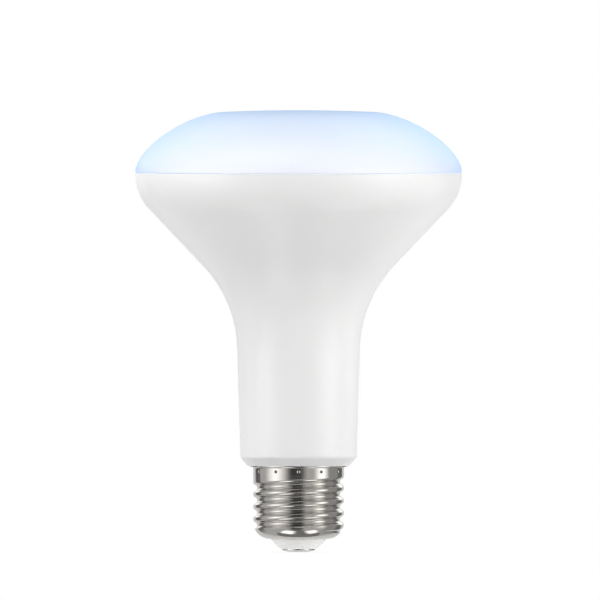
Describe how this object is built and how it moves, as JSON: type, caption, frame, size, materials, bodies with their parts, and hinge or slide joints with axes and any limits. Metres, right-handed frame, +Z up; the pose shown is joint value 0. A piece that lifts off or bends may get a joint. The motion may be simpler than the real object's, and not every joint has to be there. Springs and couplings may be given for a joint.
{
  "type": "reflector bulb",
  "caption": "Reflector bulb with a shallow milky front dome, a white funnel-shaped housing and a nickel screw cap with a centre contact.",
  "frame": {"origin": "tip of the centre contact, on the lamp's axis", "axes": "+Z up the lamp's axis from the screw cap to the front dome; -Y is the side that the picture shows"},
  "size_m": [0.095, 0.095, 0.1285],
  "materials": {
    "diffuser": "milky white with a cool tint, satin",
    "housing": "white, satin",
    "screw_shell": "bright nickel plate",
    "insulator": "white, smooth",
    "contact": "bright nickel plate"
  },
  "bodies": {
    "root": {"diffuser_dome": "diffuser", "housing": "housing", "screw_shell": "screw_shell", "insulator": "insulator", "centre_contact": "contact"}
  },
  "joints": []
}
